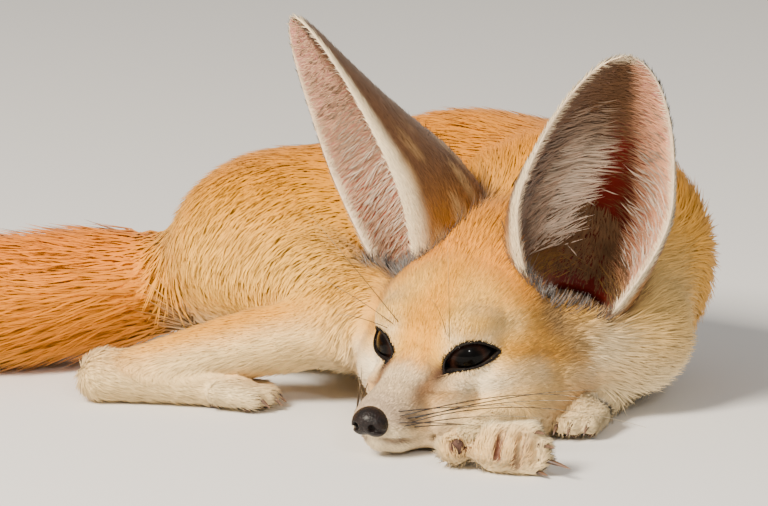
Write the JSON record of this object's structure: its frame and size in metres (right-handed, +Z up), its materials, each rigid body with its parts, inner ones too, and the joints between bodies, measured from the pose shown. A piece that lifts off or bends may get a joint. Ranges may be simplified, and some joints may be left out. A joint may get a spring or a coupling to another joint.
{
  "type": "fennec fox",
  "caption": "Curled, resting fennec fox with its chin on the floor, tall open ears, one forepaw turned up beside its mouth and a thick tail laid out behind.",
  "frame": {"origin": "on the floor, under the middle of the whole animal's box", "axes": "+X runs along the trunk from the tail towards the chest, -Y is the side the picture was taken from, +Z is up from the floor"},
  "size_m": [0.4386, 0.2696, 0.1396],
  "materials": {
    "coat": "soft fawn and orange fur",
    "pale_coat": "short cream fur",
    "tail_coat": "long rust-orange fur",
    "dark_coat": "blackish brown fur",
    "ear": "thin skin, short fur on the back and white hair inside the rim",
    "nose": "damp, finely pebbled bare skin",
    "eye": "wet, very dark brown",
    "claw": "smooth horn"
  },
  "bodies": {
    "root": {"belly": "coat", "chest": "coat", "ear_left": "ear", "ear_right": "ear", "eye_left": "eye", "eye_right": "eye", "head": "coat", "left_foreleg": "pale_coat", "left_forepaw": "pale_coat", "left_forepaw_claw_1": "claw", "left_forepaw_claw_2": "claw", "left_forepaw_claw_3": "claw", "left_forepaw_claw_4": "claw", "left_hind_foot": "pale_coat", "left_hind_toes": "pale_coat", "left_hind_toes_claw_1": "claw", "left_hind_toes_claw_2": "claw", "left_hind_toes_claw_3": "claw", "left_hind_toes_claw_4": "claw", "left_shank": "pale_coat", "left_thigh": "coat", "lower_jaw": "pale_coat", "neck": "coat", "nose": "nose", "right_foreleg": "pale_coat", "right_forepaw": "pale_coat", "right_forepaw_claw_1": "claw", "right_forepaw_claw_2": "claw", "right_forepaw_claw_3": "claw", "right_forepaw_claw_4": "claw", "right_hind_foot": "pale_coat", "right_hind_toes": "pale_coat", "right_hind_toes_claw_1": "claw", "right_hind_toes_claw_2": "claw", "right_hind_toes_claw_3": "claw", "right_hind_toes_claw_4": "claw", "right_shank": "pale_coat", "right_thigh": "coat", "rump": "coat", "tail_base": "tail_coat", "tail_end": "tail_coat", "tail_middle": "tail_coat", "tail_tip": "dark_coat"}
  },
  "joints": []
}
